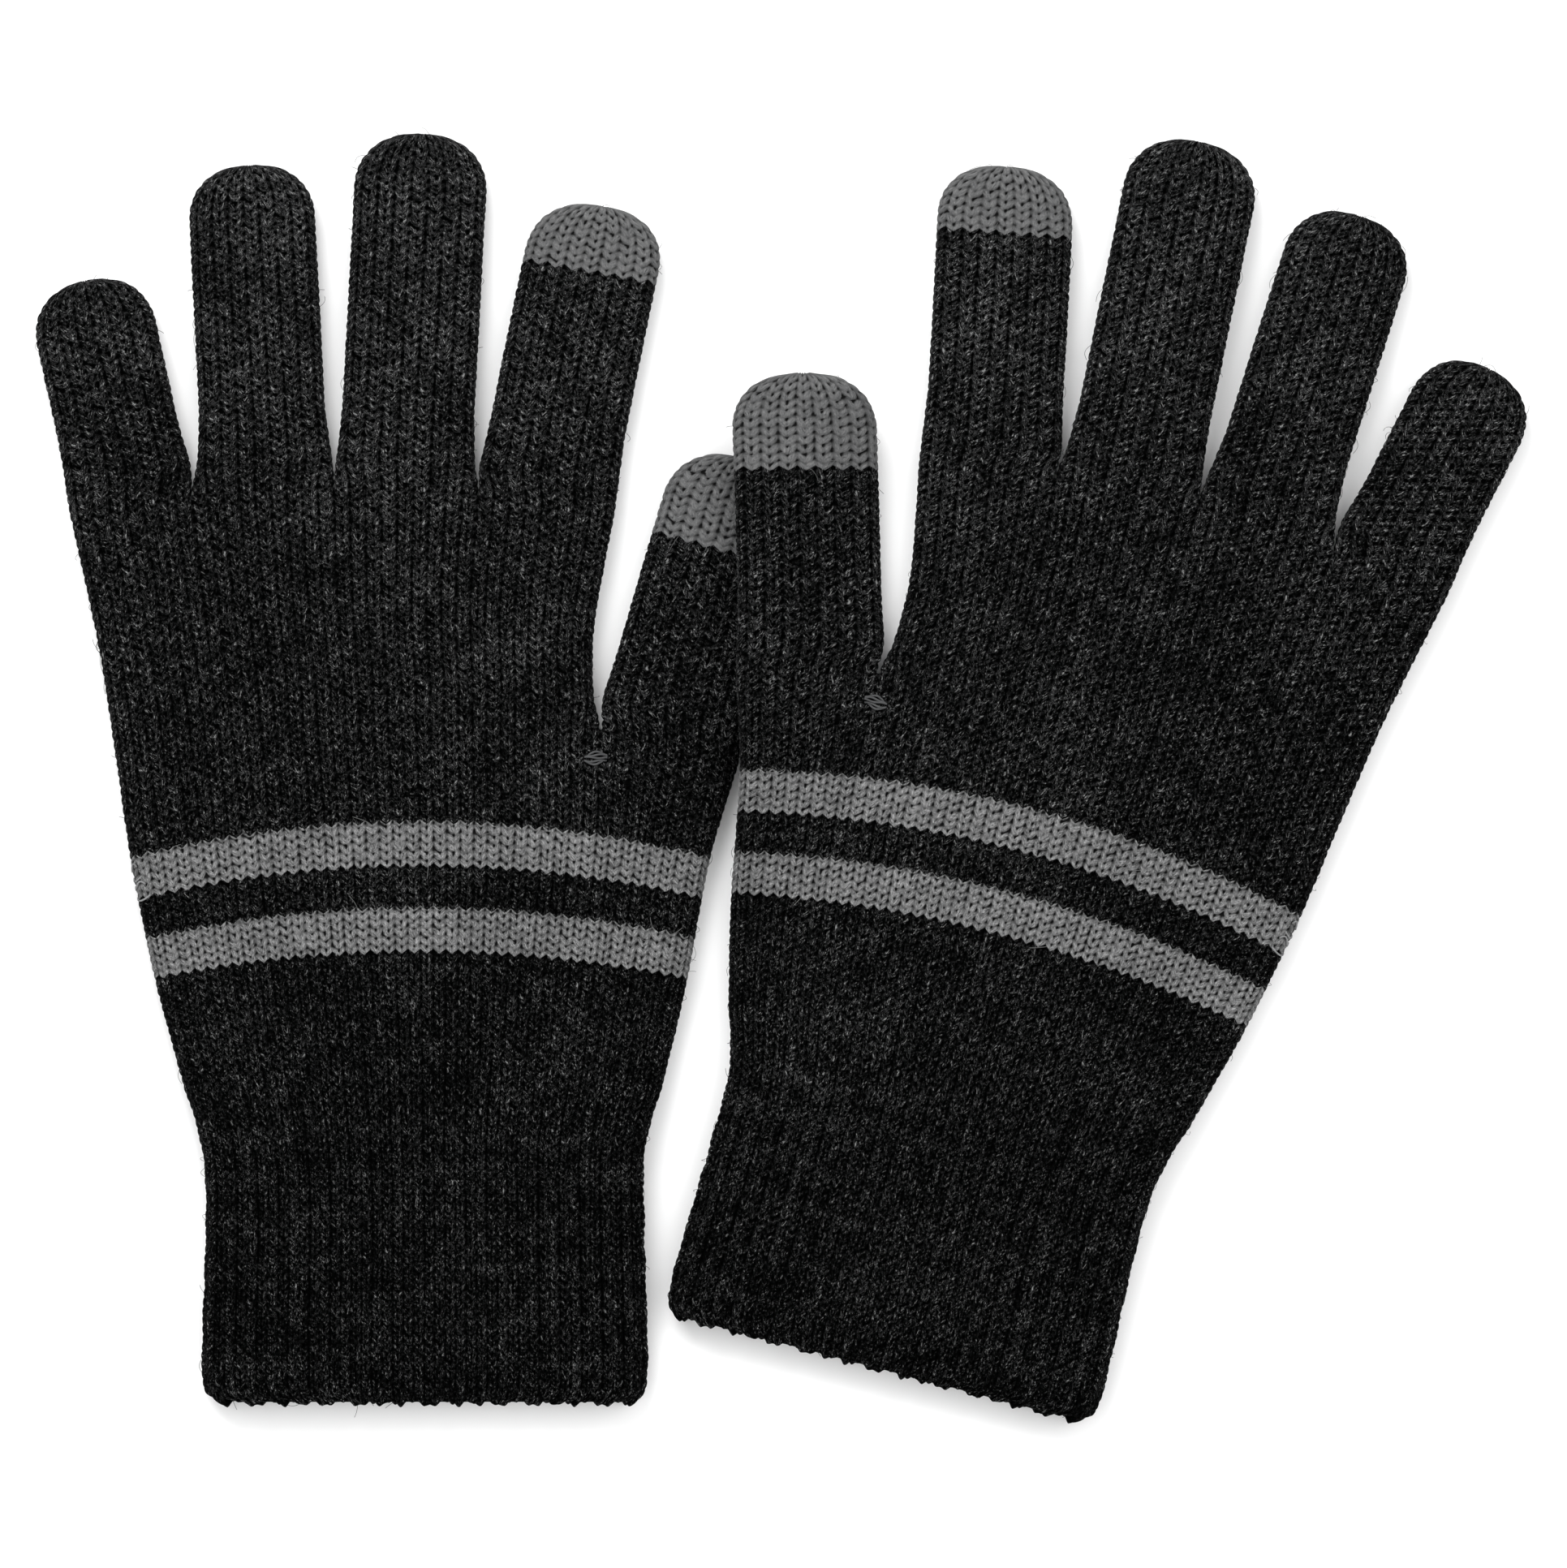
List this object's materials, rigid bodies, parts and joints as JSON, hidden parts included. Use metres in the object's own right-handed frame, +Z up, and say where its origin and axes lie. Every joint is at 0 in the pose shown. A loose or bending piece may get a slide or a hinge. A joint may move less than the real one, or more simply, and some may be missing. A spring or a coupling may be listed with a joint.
{
  "type": "touchscreen gloves",
  "caption": "Pair of charcoal knitted winter gloves lying flat, two light grey stripes, ribbed cuffs, and conductive tips on thumb and index finger.",
  "frame": {"origin": "middle of the pair's outline, on the table that it lies on", "axes": "+X across the pair from the left glove to the right glove, +Y from the cuffs towards the fingertips, +Z up from the table"},
  "size_m": [0.275, 0.2384, 0.0151],
  "materials": {
    "charcoal_knit": "matt heathered stockinette knit",
    "stripe_knit": "matt light grey stockinette knit",
    "touch_knit": "matt mid grey knit with conductive yarn",
    "elastic": "covered elastic thread",
    "tack_yarn": "matt yarn"
  },
  "bodies": {
    "left_hand": {"left_cuff_edge": "charcoal_knit", "left_cuff": "charcoal_knit", "left_cuff_elastic": "elastic", "left_wrist": "charcoal_knit", "left_lower_stripe": "stripe_knit", "left_middle_band": "charcoal_knit", "left_upper_stripe": "stripe_knit", "left_palm": "charcoal_knit", "left_knuckle_band": "charcoal_knit", "left_thumb_tack": "tack_yarn"},
    "left_little_base": {"left_little_base": "charcoal_knit"},
    "left_little_end": {"left_little_end": "charcoal_knit"},
    "left_ring_base": {"left_ring_base": "charcoal_knit"},
    "left_ring_end": {"left_ring_end": "charcoal_knit"},
    "left_middle_base": {"left_middle_base": "charcoal_knit"},
    "left_middle_end": {"left_middle_end": "charcoal_knit"},
    "left_index_base": {"left_index_base": "charcoal_knit"},
    "left_index_end": {"left_index_end": "charcoal_knit", "left_index_tip": "touch_knit"},
    "left_thumb": {"left_thumb": "charcoal_knit", "left_thumb_tip": "touch_knit"},
    "right_hand": {"right_cuff_edge": "charcoal_knit", "right_cuff": "charcoal_knit", "right_cuff_elastic": "elastic", "right_wrist": "charcoal_knit", "right_lower_stripe": "stripe_knit", "right_middle_band": "charcoal_knit", "right_upper_stripe": "stripe_knit", "right_palm": "charcoal_knit", "right_knuckle_band": "charcoal_knit", "right_thumb_tack": "tack_yarn"},
    "right_little_base": {"right_little_base": "charcoal_knit"},
    "right_little_end": {"right_little_end": "charcoal_knit"},
    "right_ring_base": {"right_ring_base": "charcoal_knit"},
    "right_ring_end": {"right_ring_end": "charcoal_knit"},
    "right_middle_base": {"right_middle_base": "charcoal_knit"},
    "right_middle_end": {"right_middle_end": "charcoal_knit"},
    "right_index_base": {"right_index_base": "charcoal_knit"},
    "right_index_end": {"right_index_end": "charcoal_knit", "right_index_tip": "touch_knit"},
    "right_thumb": {"right_thumb": "charcoal_knit", "right_thumb_tip": "touch_knit"}
  },
  "joints": [
    {"name": "right_glove_lift", "type": "slide", "parent": "left_hand", "child": "right_hand", "axis": [0, 0, 1], "range_m": [0, 0.15]},
    {"name": "left_little_knuckle", "type": "hinge", "parent": "left_hand", "child": "left_little_base", "pos_m": [-0.12031, 0.05407, 0.0035], "axis": [0.9763, 0.2164, 0], "range_deg": [0, 60]},
    {"name": "left_little_middle_joint", "type": "hinge", "parent": "left_little_base", "child": "left_little_end", "pos_m": [-0.12392, 0.07036, 0.0035], "axis": [0.9763, 0.2164, 0], "range_deg": [0, 45]},
    {"name": "left_ring_knuckle", "type": "hinge", "parent": "left_hand", "child": "left_ring_base", "pos_m": [-0.09542, 0.05736, 0.0035], "axis": [0.9987, 0.0506, 0], "range_deg": [0, 60]},
    {"name": "left_ring_middle_joint", "type": "hinge", "parent": "left_ring_base", "child": "left_ring_end", "pos_m": [-0.09665, 0.08146, 0.0035], "axis": [0.9987, 0.0506, 0], "range_deg": [0, 45]},
    {"name": "left_middle_knuckle", "type": "hinge", "parent": "left_hand", "child": "left_middle_base", "pos_m": [-0.06948, 0.05731, 0.0035], "axis": [0.9985, -0.0541, 0], "range_deg": [0, 60]},
    {"name": "left_middle_middle_joint", "type": "hinge", "parent": "left_middle_base", "child": "left_middle_end", "pos_m": [-0.06804, 0.08388, 0.0035], "axis": [0.9985, -0.0541, 0], "range_deg": [0, 45]},
    {"name": "left_index_knuckle", "type": "hinge", "parent": "left_hand", "child": "left_index_base", "pos_m": [-0.04325, 0.05424, 0.0035], "axis": [0.9842, -0.1771, 0], "range_deg": [0, 60]},
    {"name": "left_index_middle_joint", "type": "hinge", "parent": "left_index_base", "child": "left_index_end", "pos_m": [-0.03925, 0.0765, 0.0035], "axis": [0.9842, -0.1771, 0], "range_deg": [0, 45]},
    {"name": "left_thumb_swing", "type": "hinge", "parent": "left_hand", "child": "left_thumb", "pos_m": [-0.03456, 0.0095, 0.0035], "axis": [0, 0, 1], "range_deg": [0, 8]},
    {"name": "right_little_knuckle", "type": "hinge", "parent": "right_hand", "child": "right_little_base", "pos_m": [0.11349, 0.04104, 0.0035], "axis": [0.8902, -0.4555, 0], "range_deg": [0, 60]},
    {"name": "right_little_middle_joint", "type": "hinge", "parent": "right_little_base", "child": "right_little_end", "pos_m": [0.12109, 0.05589, 0.0035], "axis": [0.8902, -0.4555, 0], "range_deg": [0, 45]},
    {"name": "right_ring_knuckle", "type": "hinge", "parent": "right_hand", "child": "right_ring_base", "pos_m": [0.09024, 0.0505, 0.0035], "axis": [0.9537, -0.3007, 0], "range_deg": [0, 60]},
    {"name": "right_ring_middle_joint", "type": "hinge", "parent": "right_ring_base", "child": "right_ring_end", "pos_m": [0.0975, 0.07351, 0.0035], "axis": [0.9537, -0.3007, 0], "range_deg": [0, 45]},
    {"name": "right_middle_knuckle", "type": "hinge", "parent": "right_hand", "child": "right_middle_base", "pos_m": [0.06512, 0.05699, 0.0035], "axis": [0.9799, -0.1994, 0], "range_deg": [0, 60]},
    {"name": "right_middle_middle_joint", "type": "hinge", "parent": "right_middle_base", "child": "right_middle_end", "pos_m": [0.07043, 0.08307, 0.0035], "axis": [0.9799, -0.1994, 0], "range_deg": [0, 45]},
    {"name": "right_index_knuckle", "type": "hinge", "parent": "right_hand", "child": "right_index_base", "pos_m": [0.03897, 0.06063, 0.0035], "axis": [0.9971, -0.0767, 0], "range_deg": [0, 60]},
    {"name": "right_index_middle_joint", "type": "hinge", "parent": "right_index_base", "child": "right_index_end", "pos_m": [0.0407, 0.08318, 0.0035], "axis": [0.9971, -0.0767, 0], "range_deg": [0, 45]},
    {"name": "right_thumb_knuckle", "type": "hinge", "parent": "right_hand", "child": "right_thumb", "pos_m": [0.00522, 0.02343, 0.00755], "axis": [0.9571, 0.0134, -0.2893], "range_deg": [0, 55]}
  ],
  "couplings": [
    {"joint": "left_little_middle_joint", "follows": "left_little_knuckle", "ratio": 0.75},
    {"joint": "left_ring_middle_joint", "follows": "left_ring_knuckle", "ratio": 0.75},
    {"joint": "left_middle_middle_joint", "follows": "left_middle_knuckle", "ratio": 0.75},
    {"joint": "left_index_middle_joint", "follows": "left_index_knuckle", "ratio": 0.75},
    {"joint": "right_little_middle_joint", "follows": "right_little_knuckle", "ratio": 0.75},
    {"joint": "right_ring_middle_joint", "follows": "right_ring_knuckle", "ratio": 0.75},
    {"joint": "right_middle_middle_joint", "follows": "right_middle_knuckle", "ratio": 0.75},
    {"joint": "right_index_middle_joint", "follows": "right_index_knuckle", "ratio": 0.75}
  ]
}
